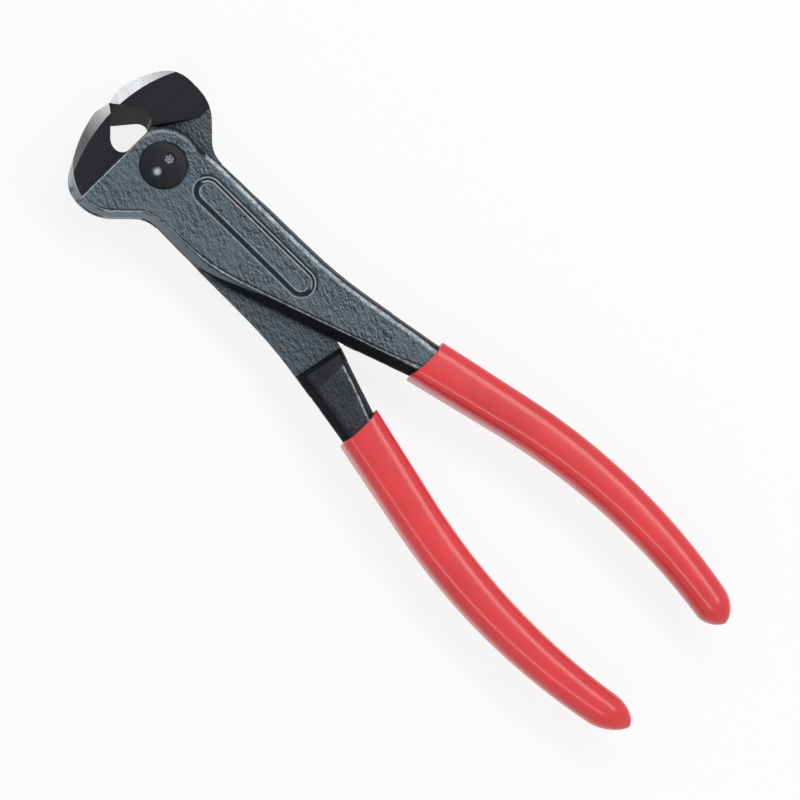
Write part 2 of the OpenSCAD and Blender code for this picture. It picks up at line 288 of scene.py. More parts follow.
def new_group(name, ins, outs, kind="ShaderNodeTree"):
    """Makes a node group and returns it with its given sockets and its output node."""
    tree = bpy.data.node_groups.new(name, kind)
    types = {label: f"NodeSocket{label}" for label in ("Geometry", "Material", "Vector")}
    for label, default in ins.items():
        socket_type = types.get(label, "NodeSocketFloat")
        socket = tree.interface.new_socket(label, in_out="INPUT", socket_type=socket_type)
        if default is not None:
            socket.default_value = default
    for label in outs:
        socket_type = types.get(label, "NodeSocketFloat")
        tree.interface.new_socket(label, in_out="OUTPUT", socket_type=socket_type)
    return tree, tree.nodes.new("NodeGroupInput").outputs, tree.nodes.new("NodeGroupOutput")


def forge_pits():
    """Shader group: relief, pitting and specks of a drop-forged face, with masks of painted highlight and
    painted shade on its slopes.
    """
    tree, given, go = new_group(
        "Forge Pits", {"Vector": None, "Size": 1.0},
        ("Height", "Lit", "Shaded", "Pits", "Specks", "Cloud"))
    grid = scaled(tree, given["Vector"], calc(tree, "DIVIDE", 1 / MM, given["Size"]))

    def surface(shift):
        moved = vec(tree, "ADD", grid, shift)
        turned = add(tree, "ShaderNodeVectorRotate", {"Vector": moved, "Angle": 0.45}, rotation_type="Z_AXIS")
        long = vec(tree, "MULTIPLY", turned.outputs[0], (0.55, 1.0, 1.0))
        coarse = noise(tree, long, 0.62, 1.5, 0.5)
        fine = noise(tree, long, 1.5, 2.0, 0.6)
        return calc(tree, "ADD", times(tree, coarse, 0.6), times(tree, fine, 0.4))

    height = surface((0.0, 0.0, 0.0))
    # The relief against a copy shifted to one side: its slopes give the masks of painted highlight (Lit) and
    # painted shade (Shaded).
    slope = calc(tree, "SUBTRACT", surface((0.1, -0.22, 0.0)), height)
    dress(tree, go, {
        "Height": height,
        "Lit": span(tree, slope, 0.012, 0.055),
        "Shaded": span(tree, slope, -0.012, -0.055),
        "Pits": span(tree, height, 0.44, 0.34),
        "Specks": span(tree, noise(tree, grid, 2.6, 2.0, 0.6), 0.54, 0.66),
        "Cloud": noise(tree, grid, 0.12, 3.0, 0.55)})
    return tree


def grind_lines():
    """Shader group: fine parallel lines left by grinding."""
    tree, given, go = new_group(
        "Grind Lines", {"Vector": None, "Turn": 0.0, "Pitch": 0.12},
        ("Lines", "Broad"))
    turn = add(tree, "ShaderNodeVectorRotate", {"Vector": given["Vector"], "Angle": given["Turn"]},
               rotation_type="Z_AXIS")
    across = vec(tree, "MULTIPLY", scaled(tree, turn.outputs[0], 1 / MM), (0.06, 1.0, 1.0))
    lines = scaled(tree, across, calc(tree, "DIVIDE", 1.0, given["Pitch"]))
    dress(tree, go, {
        "Lines": noise(tree, lines, 0.5, 2.0, 0.6),
        "Broad": noise(tree, across, 0.35, 2.0, 0.5)})
    return tree


def edge_wear_and_painted_light():
    """Shader group: masks of light lines along the edges, painted highlight broken up like wear, and of
    painted shade in hollows, creases and gaps, from the stored attributes.
    """
    tree, given, go = new_group("Edge Wear", {"Vector": None, "Amount": 1.0}, ("Worn", "Hollow"))
    mm = scaled(tree, given["Vector"], 1 / MM)
    # Noise breaks the painted highlights up like wear.
    broken = span(tree, noise(tree, mm, 0.9, 3.0, 0.65), 0.4, 0.58, 0.4, 1.0)
    dress(tree, go, {
        "Worn": times(tree, stored_mask(tree, "rim"), broken, given["Amount"]),
        # Hollow is the painted shade mask.
        "Hollow": stored_mask(tree, "dim")})
    return tree


def panel_lines():
    """Shader group: painted shade on the walls and painted highlights as thin light lines of the recessed
    panel, on either side of a lever.
    """
    tree, given, go = new_group(
        "Panel Lines", {"Vector": None, "Start": 12.0, "End": 45.0, "Offset": 3.0, "Radius": 3.0},
        ("Light", "Dark"))
    x, y, z = add(tree, "ShaderNodeSeparateXYZ", {0: scaled(tree, given["Vector"], 1 / MM)}).outputs
    inside = calc(tree, "MINIMUM", most(tree, x, given["Start"]), given["End"])
    dx = calc(tree, "SUBTRACT", x, inside)
    dy = calc(tree, "SUBTRACT", times(tree, y, calc(tree, "SIGN", z)), given["Offset"])
    square = calc(tree, "ADD", times(tree, dx, dx), times(tree, dy, dy))
    d = calc(tree, "SUBTRACT", calc(tree, "SQRT", square), given["Radius"])
    face = span(tree, calc(tree, "ABSOLUTE", z), 3.8, 4.2)
    far = times(tree, face, span(tree, dy, 0.4, 1.4))
    near = times(tree, face, span(tree, dy, 1.4, 0.4))

    def line(side, centre, half, soft, amount):
        """A line beside the panel's outline, on one of its long sides."""
        gap = calc(tree, "ABSOLUTE", calc(tree, "SUBTRACT", d, centre))
        return times(tree, side, span(tree, gap, half, half - soft, 0.0, amount))

    # Painted highlights on the rims and painted shade on the walls, placed differently on the far and near
    # sides.
    light = most(tree, line(far, -0.5, 0.24, 0.16, 0.9), line(far, 0.33, 0.24, 0.16, 0.75),
                 line(near, -1.32, 0.2, 0.14, 0.5), line(near, 0.5, 0.3, 0.2, 0.35))
    dark = most(tree, line(far, 0.15, 1.15, 0.4, 0.92), line(near, -0.45, 0.8, 0.25, 0.95))
    dress(tree, go, {
        "Light": light,
        "Dark": dark})
    return tree


def dip_sheen():
    """Shader group: slow tone change and faint ripple of a dipped coating."""
    tree, given, go = new_group("Dip Sheen", {"Vector": None}, ("Tone", "Ripple"))
    mm = scaled(tree, given["Vector"], 1 / MM)
    dress(tree, go, {
        "Tone": noise(tree, mm, 0.05, 3.0, 0.5),
        "Ripple": noise(tree, vec(tree, "MULTIPLY", mm, (0.3, 1.0, 1.0)), 0.45, 2.0, 0.5)})
    return tree


def shared(name):
    """Returns a shader node group, made on first use."""
    makers = {"Forge Pits": forge_pits, "Grind Lines": grind_lines, "Edge Wear": edge_wear_and_painted_light,
              "Panel Lines": panel_lines, "Dip Sheen": dip_sheen}
    return bpy.data.node_groups.get(name) or makers[name]()


def use(tree, name, **ins):
    """Adds a shared shader group to a material."""
    n = add(tree, "ShaderNodeGroup", node_tree=shared(name))
    dress(tree, n, ins)
    return n.outputs


def new_material(name):
    """Makes a material and returns it with its tree, Principled node and object coordinates."""
    m = bpy.data.materials.new(name)
    m.use_nodes = True
    tree = m.node_tree
    tree.nodes.clear()
    p = add(tree, "ShaderNodeBsdfPrincipled")
    out = add(tree, "ShaderNodeOutputMaterial")
    tree.links.new(p.outputs[0], out.inputs["Surface"])
    return m, tree, p, add(tree, "ShaderNodeTexCoord").outputs["Object"]


def bump(tree, height, strength, distance):
    """A normal from a height, with its distance in millimetres."""
    ins = {"Height": height, "Strength": strength, "Distance": distance * MM}
    return add(tree, "ShaderNodeBump", ins).outputs["Normal"]


def skin_material():
    """Pitted blue-grey skin with blackened backs, painted shade in hollows, creases and on the walls beyond
    the head, and painted highlight as light lines along the edges, broken like wear.
    """
    s, c = sizes(), colours()
    m, tree, p, at = new_material("Forged skin")
    forge = use(tree, "Forge Pits", Vector=at, Size=0.62)
    edge = use(tree, "Edge Wear", Vector=at, Amount=1.0)
    r = s.panel_w / 2
    panel = use(tree, "Panel Lines", Vector=vec(tree, "SUBTRACT", at, tuple(PIVOT)), Start=s.panel_x + r,
                End=s.panel_x + s.panel_l - r, Offset=s.panel_y, Radius=r)
    grain = times(tree, stored_mask(tree, "grain"), span(tree, forge["Cloud"], 0.4, 0.58, 0.5, 1.15))
    # The stored tone paints upright walls lighter near the head and darker along the bars: painted reflection
    # and painted shade.
    tone = times(tree, span(tree, forge["Cloud"], 0.3, 0.7, 1.1, 0.9), stored_mask(tree, "tone"))
    # Painted highlight: the lit slopes of the relief take the ridge highlight colour.
    lit = times(tree, forge["Lit"], grain, 0.85)
    base = blend(tree, lit, scaled(tree, tuple(c.skin), tone), c.ridge_highlight)
    specks = span(tree, forge["Specks"], 0.0, 1.0, 0.97, 0.4)
    # The blackened back of a bar, and painted shade on the wall facing the other handle, take the dark back
    # colour.
    base = blend(tree, times(tree, stored_mask(tree, "black"), specks), base, c.tar_and_painted_shade)
    # Painted shade on the shaded slopes of the relief, together with the pitting.
    pits_and_shade = most(tree, times(tree, forge["Shaded"], 0.9), times(tree, forge["Pits"], 0.7))
    # Painted shade in hollows, creases, gaps, along edges and on the panel walls.
    dark = most(tree, times(tree, pits_and_shade, grain), edge["Hollow"], panel["Dark"])
    base = blend(tree, dark, base, c.pits_and_shade)
    # Painted highlights along the edges and on the panel rims, broken like wear.
    worn_and_lit = most(tree, edge["Worn"], panel["Light"])
    dress(tree, p, {
        "Base Color": blend(tree, worn_and_lit, base, c.wear_and_highlight),
        "Metallic": times(tree, worn_and_lit, 0.2),
        "Roughness": span(tree, dark, 0.0, 1.0, 0.28, 0.6),
        "Specular IOR Level": 0.2,
        "Normal": bump(tree, times(tree, forge["Height"], grain), 1.0, 1.2)})
    return m


def flank_material(name="Blackened flank", shine=0.18):
    """Black steel with faint lines across the jaws."""
    c = colours()
    m, tree, p, at = new_material(name)
    lines = use(tree, "Grind Lines", Vector=at, Turn=1.57, Pitch=0.2)
    tone = span(tree, lines["Broad"], 0.3, 0.7, 0.8, 1.3)
    dress(tree, p, {
        "Base Color": scaled(tree, tuple(c.flank), tone),
        "Roughness": span(tree, lines["Lines"], 0.3, 0.7, 0.36, 0.46),
        "Specular IOR Level": shine,
        "Normal": bump(tree, lines["Lines"], 0.12, 0.03)})
    return m


def wall_material():
    """Black upright walls, duller than the flanks: painted shade in the throat, along the shoulder and on the
    walls facing the other handle, and the blackened back of the shank.
    """
    return flank_material("Blackened wall", 0.008)


def ground_material():
    """Bare ground steel, painted darker on the front jaw away from the cutting edge as painted shade in its
    reflection.
    """
    c = colours()
    m, tree, p, at = new_material("Ground steel")
    lines = use(tree, "Grind Lines", Vector=at, Turn=0.35, Pitch=0.1)
    forge = use(tree, "Forge Pits", Vector=at, Size=0.55)
    y = add(tree, "ShaderNodeSeparateXYZ", {0: at}).outputs[1]
    # Painted shade: the front jaw's lands darken away from the cutting edge.
    tone = times(tree, span(tree, y, -10 * MM, -1 * MM, 0.28, 1.0),
                 span(tree, lines["Lines"], 0.25, 0.75, 0.9, 1.06),
                 span(tree, forge["Specks"], 0.0, 1.0, 1.05, 0.55))
    dress(tree, p, {
        "Base Color": scaled(tree, tuple(c.ground), tone),
        "Metallic": 1.0,
        "Roughness": span(tree, lines["Broad"], 0.3, 0.7, 0.4, 0.5),
        "Normal": bump(tree, lines["Lines"], 0.25, 0.04)})
    return m


def lap_material():
    """Dark ground face of the lap joint, with forging pitting left in it and painted highlight and painted
    shade on its relief.
    """
    c = colours()
    m, tree, p, at = new_material("Ground lap face")
    lines = use(tree, "Grind Lines", Vector=at, Turn=0.2, Pitch=0.3)
    forge = use(tree, "Forge Pits", Vector=at, Size=0.6)
    base = scaled(tree, tuple(c.lap), span(tree, lines["Lines"], 0.3, 0.7, 0.85, 1.15))
    # Painted highlight and painted shade on the lit and shaded slopes of the relief.
    base = blend(tree, times(tree, forge["Lit"], 0.5), base, c.ridge_highlight)
    base = blend(tree, times(tree, forge["Shaded"], 0.8), base, c.pits_and_shade)
    dress(tree, p, {
        "Base Color": base,
        "Roughness": span(tree, lines["Broad"], 0.3, 0.7, 0.36, 0.46),
        "Specular IOR Level": 0.15,
        "Normal": bump(tree, forge["Height"], 1.0, 1.0)})
    return m


def rivet_material():
    """Smooth black with uncoated steel in the punch marks and a painted glint in the lower one."""
    c = colours()
    m, tree, p, at = new_material("Black rivet")
    forge = use(tree, "Forge Pits", Vector=at, Size=0.8)
    specks = span(tree, forge["Specks"], 0.0, 1.0, 1.0, 0.4)
    bare = times(tree, stored_mask(tree, "bare"), specks)
    dress(tree, p, {
        "Base Color": blend(tree, bare, c.rivet, c.wear_and_highlight),
        "Roughness": span(tree, bare, 0.0, 1.0, 0.27, 0.5),
        "Specular IOR Level": 0.1,
        "Normal": bump(tree, forge["Height"], 0.3, 0.15)})
    return m


def sleeve_material():
    """Glossy dipped red with a slow change of tone."""
    c = colours()
    m, tree, p, at = new_material("Dipped red")
    dip = use(tree, "Dip Sheen", Vector=at)
    deep = tuple(0.86 * v for v in c.red)
    dress(tree, p, {
        "Base Color": blend(tree, span(tree, dip["Tone"], 0.35, 0.65), deep, tuple(c.red)),
        "Roughness": span(tree, dip["Tone"], 0.3, 0.7, 0.2, 0.26),
        "Specular IOR Level": 0.42,
        "Subsurface Weight": 0.12,
        "Subsurface Radius": (2.0 * MM, 0.6 * MM, 0.4 * MM),
        "Subsurface Scale": 0.5,
        "Normal": bump(tree, dip["Ripple"], 0.05, 0.08)})
    return m


def seen_rays(tree, share=1.0):
    """One for glossy and transmitted rays, a share for camera rays, nought for all others."""
    rays = add(tree, "ShaderNodeLightPath").outputs
    mirrored = most(tree, rays["Is Glossy Ray"], rays["Is Transmission Ray"])
    return most(tree, times(tree, rays["Is Camera Ray"], share), mirrored)


def floor_material():
    """Nearly white with a faint shadow where it is seen, pale and matt where it lights the tool."""
    c = colours()
    m, tree, p, _ = new_material("Floor")
    dress(tree, p, {
        "Base Color": (*c.floor, 1.0),
        "Roughness": 0.9})
    white = add(tree, "ShaderNodeEmission", {"Color": WHITE, "Strength": 1.0})
    mix = add(tree, "ShaderNodeMixShader",
              {0: seen_rays(tree, FLOOR_WHITE), 1: p.outputs[0], 2: white.outputs[0]})
    out = next(n for n in tree.nodes if n.type == "OUTPUT_MATERIAL")
    tree.links.new(mix.outputs[0], out.inputs["Surface"])
    return m


def finish_of(name):
    """Returns a material by name, made on first use."""
    makers = {
        "Forged skin": skin_material, "Blackened flank": flank_material, "Blackened wall": wall_material,
        "Ground steel": ground_material, "Ground lap face": lap_material, "Black rivet": rivet_material,
        "Dipped red": sleeve_material, "Floor": floor_material}
    return bpy.data.materials.get(name) or makers[name]()


def new_object(name, data):
    """Puts a mesh, a light or a camera into the scene."""
    obj = bpy.data.objects.new(name, data)
    bpy.context.scene.collection.objects.link(obj)
    return obj


def bake(obj):
    """Puts the evaluated mesh into the object and removes its modifiers."""
    made = bpy.data.meshes.new_from_object(obj.evaluated_get(bpy.context.evaluated_depsgraph_get()))
    obj.modifiers.clear()
    old = obj.data
    obj.data = made
    if old.users == 0:
        bpy.data.batch_remove([old])
    return made


def drop(obj):
    """Removes an object and its mesh."""
    mesh = obj.data
    bpy.data.objects.remove(obj)
    if mesh.users == 0:
        bpy.data.batch_remove([mesh])


def points(mesh, name="co", data="vertices"):
    """Places or directions of a mesh, one to a row."""
    out = np.empty(len(getattr(mesh, data)) * 3)
    getattr(mesh, data).foreach_get(name, out)
    return out.reshape(-1, 3)


def set_points(mesh, v):
    mesh.vertices.foreach_set("co", np.ascontiguousarray(v, dtype=np.float64).ravel())
    mesh.update()


def store(mesh, name, values):
    """Stores one number for every point of a mesh."""
    a = mesh.attributes.get(name) or mesh.attributes.new(name, "FLOAT", "POINT")
    a.data.foreach_set("value", np.ascontiguousarray(values, dtype=np.float32))


def own_way(v, turned):
    """Turns places or directions of the rear lever over, to those of the front lever."""
    return v * TURNED_OVER if turned else v


def to_pivot(v, turned):
    """Millimetres from the pivot, turned over for the rear lever."""
    return own_way((v - PIVOT) / MM, turned)


def rise(value, start, run):
    """Nought up to start, then smoothly up to one over a run."""
    t = np.clip((value - start) / run, 0.0, 1.0)
    return t * t * (3.0 - 2.0 * t)


def fall(value, end, run):
    """One up to a run before end, then smoothly down to nought."""
    return rise(-value, -end, run)


def panel_distance(s, p):
    """Signed distance to the outline of the recessed panel."""
    r = s.panel_w / 2
    x0, x1 = s.panel_x + r, s.panel_x + s.panel_l - r
    dx = p[:, 0] - np.clip(p[:, 0], x0, x1)
    return np.hypot(dx, p[:, 1] - s.panel_y) - r


def shoulder_distance(s, x, y):
    """Distance from the straight stretch of the lap shoulder."""
    return np.abs(-math.cos(s.shoulder_turn) * x - math.sin(s.shoulder_turn) * y - s.shoulder_r)


def crispness(s, p):
    """One where a lever is machined or hidden, nought where it keeps its forged skin."""
    x, y, z = p.T
    jaw = 1 - rise(x, -s.throat_back, 0.7)
    low = (1 - rise(z, 0.3, 0.5)) * (1 - rise(x, s.riser_x + 3.5, 1.5))
    far = rise(x, s.mouth_x + 1.0, 1.0)
    bore = (1 - rise(np.hypot(x, y), s.head_d / 2 + 0.4, 0.4)) * (1 - rise(z, 4.4, 0.4))
    return np.maximum.reduce([jaw, low, far, bore])


def edge_lines(s, p, n, near, side, black):
    """Painted highlight and painted shade: light and dark lines along the rounded edges, the lap lobe and the
    shoulder.
    """
    x, y, z = p.T
    r = np.hypot(x, y)
    lean, up = np.abs(n[:, 1]), n[:, 2]
    lobe_in, glint_r, ring_r, lobe_out = 7.5, 8.5, 8.9, 10.8
    lobe = (z > 2) & (r > lobe_in) & (r < lobe_out) & (y > -1) & (x < 6)
    rounded = rise(near, 0.02 + 0.1 * black, 0.04)
    own = rise(panel_distance(s, p), 1.0, 0.5) * rise(r, 7.2, 0.5) * ~lobe
    own *= (1 - black * (x < s.riser_x + 3)) * rounded * rise(up, -0.2, 0.2)
    far = rise(side, 0.1, 0.25)
    close = rise(-side, 0.1, 0.25) * (1 - black)
    # Painted highlight: light lines just inside the edges, differently on their far and near sides.
    light = far * rise(up, 0.9, 0.06)
    light += close * rise(lean, 0.46, 0.08) * (1 - rise(lean, 0.76, 0.06))
    # Painted shade: dark lines on the walls and bevels beside the edges.
    dark = far * rise(lean, 0.3, 0.15)
    dark += close * rise(lean, 0.1, 0.1) * (1 - rise(lean, 0.42, 0.1))
    dark += close * rise(lean, 0.78, 0.06) * (1 - rise(lean, 0.9, 0.04))
    # Painted shade in the crease along the lap shoulder.
    crease = 0.9 * ((z < 0) & (shoulder_distance(s, x, y) < 0.9) & (r < 16))
    # Painted shade on walls facing +Y, from a little behind the pivot on.
    wall = 0.8 * rise(n[:, 1], 0.7, 0.15) * rise(x, 4, 8)
    # Painted shade in the gap at the edge of the lap lobe.
    ring = lobe * rounded * rise(r, ring_r, 0.4)
    # A painted glint on the lap lobe.
    glint = (lobe & (x < 3)) * 0.6 * np.exp(-(((r - glint_r) / 0.3) ** 2))
    # The rim mask holds the painted highlights and the glint; the painted shade mask holds the dark marks.
    rim = np.maximum(own * light, glint)
    dim = np.maximum.reduce([own * dark, ring, wall, crease])
    return np.clip([rim, dim], 0, 1)


def relax(v, edges, weight, steps):
    """Weighted smoothing of points towards their neighbours."""
    n = len(v)
    a, b = edges.T
    count = np.maximum(np.bincount(a, minlength=n) + np.bincount(b, minlength=n), 1)
    for _ in range(steps):
        mean = np.empty_like(v)
        for k in range(3):
            mean[:, k] = np.bincount(a, v[b, k], n) + np.bincount(b, v[a, k], n)
        v = v + 0.5 * weight[:, None] * (mean / count[:, None] - v)
    return v


def put_out(tree, given, go, geometry):
    """Ends a geometry group: real geometry with the material from its input."""
    real = add(tree, "GeometryNodeRealizeInstances", {"Geometry": geometry})
    ins = {"Geometry": real.outputs[0], "Material": given["Material"]}
    tree.links.new(add(tree, "GeometryNodeSetMaterial", ins).outputs[0], go.inputs[0])
    return tree


def stored_number(tree, name):
    """Reads a number that is stored on the points, in a geometry group."""
    return add(tree, "GeometryNodeInputNamedAttribute", {"Name": name}, data_type="FLOAT").outputs[0]


def hammer_tree():
    """Geometry group: sinks soft points along their normals by hammer marks."""
    tree, given, go = new_group(
        "Hammer Marks", {"Geometry": None, "Depth": 0.0001, "Size": 0.0015, "Seed": 0.0, "Material": None},
        ("Geometry",), "GeometryNodeTree")
    at = add(tree, "GeometryNodeInputPosition").outputs[0]
    moved = vec(tree, "ADD", at, add(tree, "ShaderNodeCombineXYZ", {0: given["Seed"]}).outputs[0])
    grid = scaled(tree, moved, calc(tree, "DIVIDE", 1.0, given["Size"]))
    long = vec(tree, "MULTIPLY", grid, (0.6, 1.0, 1.0))
    broad = noise(tree, grid, 0.32, 2.0, 0.5)
    marks = span(tree, noise(tree, long, 0.8, 2.0, 0.5), 0.48, 0.75)
    sunk = calc(tree, "ADD", times(tree, broad, 0.5), times(tree, marks, 0.6))
    depth = times(tree, sunk, given["Depth"], stored_number(tree, "soft"), -1.0)
    normal = add(tree, "GeometryNodeInputNormal").outputs[0]
    offset = scaled(tree, normal, depth)
    sunk_in = add(tree, "GeometryNodeSetPosition", {"Geometry": given["Geometry"], "Offset": offset})
    return put_out(tree, given, go, sunk_in.outputs[0])


def run_nodes(obj, tree, **values):
    """Runs a geometry group on an object with named inputs and bakes it."""
    mod = obj.modifiers.new(tree.name, "NODES")
    mod.node_group = tree
    names = {i.name: i.identifier for i in tree.interface.items_tree if i.in_out == "INPUT"}
    for key, value in values.items():
        mod[names[key]] = value
    return bake(obj)


def group_of(name, maker):
    """Returns a geometry group by name, made on first use."""
    return bpy.data.node_groups.get(name) or maker()


def welded_copy(node):
    """A closed copy of a CAD node's mesh."""
    mesh = frame["nodes"][node].data.copy()
    bm = bmesh.new()
    bm.from_mesh(mesh)
    bmesh.ops.remove_doubles(bm, verts=bm.verts, dist=WELD)
    bmesh.ops.dissolve_degenerate(bm, edges=bm.edges, dist=SLIVER)
    bm.to_mesh(mesh)
    bm.free()
    mesh.materials.clear()
    return mesh


def sharpen(mesh, limit):
    """Smooth shading with hard edges where faces turn by more than a limit."""
    bm = bmesh.new()
    bm.from_mesh(mesh)
    for f in bm.faces:
        f.smooth = True
    for e in bm.edges:
        e.smooth = not (e.is_manifold and e.calc_face_angle() > limit)
    bm.to_mesh(mesh)
    bm.free()


def lever_faces(s, c, n):
    """Sorts the faces of a lever by finish, from their centres and normals."""
    x, y, z = c.T
    height, up = np.abs(z), np.abs(n[:, 2])
    upright, steep = up < 0.3, up < 0.5
    throat_side, edge_side, nose_back, edge_back = -6.6, -4.2, -16.0, -17.6
    inner_start, inner_full, inner_top, inner_slope = 24, 45, 5.6, 0.2
    kind = np.full(len(c), SKIN)
    lap = (n[:, 2] < -0.9) & (np.abs(z - s.lap_gap / 2) < FACE_FIT) & (x < s.riser_x + 4)
    kind[lap] = LAP
    # Throat, shoulder and inner walls take the dull blackened wall finish as painted shade; the shank walls
    # are the blackened back of the bar.
    throat = upright & (x < 0.2 - s.throat_back) & (y > throat_side) & (n[:, 0] > -0.3)
    shoulder = upright & (z < 0) & (shoulder_distance(s, x, y) < 0.1)
    inner = steep & (x > inner_start) & (n[:, 1] < -0.6) & (z < inner_top - inner_slope * (inner_full - x))
    shank = steep & (x > s.riser_x - 0.5) & (z < 0.5)
    kind[throat | shoulder | inner | shank] = WALL
    slope = np.abs(height - s.flank_slope * (-s.flank_foot - x)) < FACE_FIT
    kind[slope & (up > 0.5) & (x < -s.flank_foot)] = FLANK
    barrel = np.abs(np.hypot(y, height + s.land_r - s.jaw_w / 2) - s.land_r) < FACE_FIT
    land = barrel & (up > 0.5) & (x < -s.throat_back)
    front = np.abs(np.hypot(x + s.nose_x - s.nose_r, y) - s.nose_r) < FACE_FIT
    nose = upright & front & (x < nose_back)
    edge = upright & (x < edge_back) & (y > edge_side) & (n[:, 0] < -0.3)
    kind[land | nose | edge] = GROUND
    return kind


def edge_pairs(mesh):
    """The numbers of the two points of every edge."""
    pairs = np.empty(len(mesh.edges) * 2, dtype=np.int32)
    mesh.edges.foreach_get("vertices", pairs)
    return pairs.reshape(-1, 2)


def nearest(places, mesh):
    """The number of the nearest place for every point of a mesh."""
    finder = KDTree(len(places))
    for i, place in enumerate(places):
        finder.insert(place, i)
    finder.balance()
    return np.array([finder.find(v)[1] for v in points(mesh)])


def lever_marks(s, mesh, turned):
    """How a forging bulges at each of its points, where its back is blackened, where the wall facing the
    other handle is painted black as shade, where the riser is darkened as painted shade, and where it is
    rough.
    """
    v = points(mesh)
    x, y, z = to_pivot(v, turned).T
    normal = points(mesh, "vector", "vertex_normals")
    _, across, up = own_way(normal, turned).T
    edges = edge_pairs(mesh)
    every = np.ones(len(v))
    wide_steps, spread_steps, full_bulge = 14, 6, 0.4 * MM
    out = v - relax(v, edges, every, wide_steps)
    bulge = np.clip(np.einsum("ij,ij->i", out, normal) / full_bulge, 0, 1)
    reach = np.linalg.norm(out, axis=1)
    near, sideways, reach = relax(np.stack([bulge, out[:, 1], reach], 1), edges, every, spread_steps).T
    back = fall(z, 0.5, 1.0)
    bar = rise(x, s.riser_x - 0.4, 0.8) * back
    # Painted shade: beyond the head, the wall facing the other handle is painted black, where the other lever
    # lies beneath it.
    inner = rise(x, 34, 10) * fall(across, -0.55, 0.25)
    # Painted shade around the riser on the back of the bar.
    wall = rise(x, s.riser_x - 0.6, 0.6) * back * rise(up, -0.95, 0.15)
    return {
        "near": near,
        "side": sideways / np.maximum(reach, 1e-9),
        "black": np.maximum(bar, inner),
        "wall": np.maximum(wall, bar * fall(x, s.riser_x + 4.6, 0.5)),
        "rough": np.maximum.reduce([rise(y, 0.5, 5), rise(x, 50, 10), fall(x, -2, 5)])}


def paint_lever(s, mesh, marks, turned):
    """Stores the masks of the skin on a lever, painted highlight and painted shade among them, and gives each
    face its finish.
    """
    p = to_pivot(points(mesh), turned)
    x, _, z = p.T
    normal = points(mesh, "vector", "vertex_normals")
    top, under = (edge_lines(s, p, normal * (1, way, way), marks["near"], way * marks["side"], marks["black"])
                  for way in (1, -1))
    # Painted highlight and painted shade along the edges, from the side of the lever that each point faces.
    rim, dim = np.where(normal[:, 2] >= 0, top, under)
    # At the step of the riser on the back, the light lines go, and the step is blackened and darkened with
    # painted shade.
    foot = rise(x, s.riser_x - 2.5, 0.5) * fall(x, s.riser_x + 5.2, 0.5) * fall(z, 0.2, 0.2)
    rim *= 1 - foot
    flat = rise(np.abs(normal[:, 2]), 0.4, 0.4)
    masks = {
        "rim": rim,
        # Painted shade: the dark lines, the riser and the step on the back.
        "dim": np.maximum.reduce([dim, 0.9 * marks["wall"] * (1 - rim), 0.75 * foot]),
        "black": np.maximum(marks["black"], foot),
        # Upright walls are painted lighter near the head, as a painted reflection of the floor, and darker
        # along the bars, as painted shade.
        "tone": 1 + (1 - flat) * (0.25 - 0.65 * rise(x, 30, 14)),
        "grain": (0.15 + 0.85 * flat) * (0.75 + 0.25 * marks["rough"])}
    for name, values in masks.items():
        store(mesh, name, values)
    centre = to_pivot(points(mesh, "center", "polygons"), turned)
    facing = own_way(points(mesh, "normal", "polygons"), turned)
    mesh.materials.clear()
    for finish in LEVER_FINISHES:
        mesh.materials.append(finish_of(finish))
    mesh.polygons.foreach_set("material_index", lever_faces(s, centre, facing).astype(np.int32))


def build_lever(name, node, turned, seed):
    """A lever with soft forged skin, cut crisp by its machined faces."""
    s = sizes()
    exact = new_object("exact", welded_copy(node))
    obj = new_object(name, exact.data.copy())
    grain = obj.modifiers.new("grain", "REMESH")
    grain.mode = "VOXEL"
    grain.voxel_size = s.voxel * MM
    mesh = bake(obj)
    marks = lever_marks(s, mesh, turned)
    crisp = crispness(s, to_pivot(points(mesh), turned))
    eased = relax(points(mesh), edge_pairs(mesh), 1 - crisp, s.soften)
    set_points(mesh, eased)
    store(mesh, "soft", 1 - crisp)
    mesh = run_nodes(obj, group_of("Hammer Marks", hammer_tree), Depth=s.hammer_depth * MM,
                     Size=s.hammer_size * MM, Seed=seed, Material=finish_of("Forged skin"))
    grow = (CUT_OVER * crisp - s.skin_sink * (1 - crisp)) * MM
    set_points(mesh, points(mesh) + points(mesh, "vector", "vertex_normals") * grow[:, None])
    trim = obj.modifiers.new("trim", "BOOLEAN")
    trim.operation = "INTERSECT"
    trim.solver = "MANIFOLD"
    trim.object = exact
    mesh = bake(obj)
    drop(exact)
    if len(mesh.polygons) < LEAST_FACES:
        raise RuntimeError(f"{name}: the cut left {len(mesh.polygons)} faces")
    index = nearest(eased, mesh)
    paint_lever(s, mesh, {key: values[index] for key, values in marks.items()}, turned)
    sharpen(mesh, STEEL_EDGE)
    return obj


class NIPPERS_OT_front_lever(bpy.types.Operator):
    """Build the front lever: jaw, upper lap half and handle bar"""

    bl_idname = "nippers.front_lever"
    bl_label = "Front Lever"

    def execute(self, context):
        obj = build_lever("front_lever_forging", "front_lever", turned=False, seed=0.0)
        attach(obj, "front")
        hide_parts("front_lever")
        return {"FINISHED"}


class NIPPERS_OT_rear_lever(bpy.types.Operator):
    """Build the rear lever: jaw, lower lap half and handle bar"""

    bl_idname = "nippers.rear_lever"
    bl_label = "Rear Lever"

    def execute(self, context):
        obj = build_lever("rear_lever_forging", "rear_lever", turned=True, seed=0.37)
        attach(obj, "rear")
        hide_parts("rear_lever")
        return {"FINISHED"}


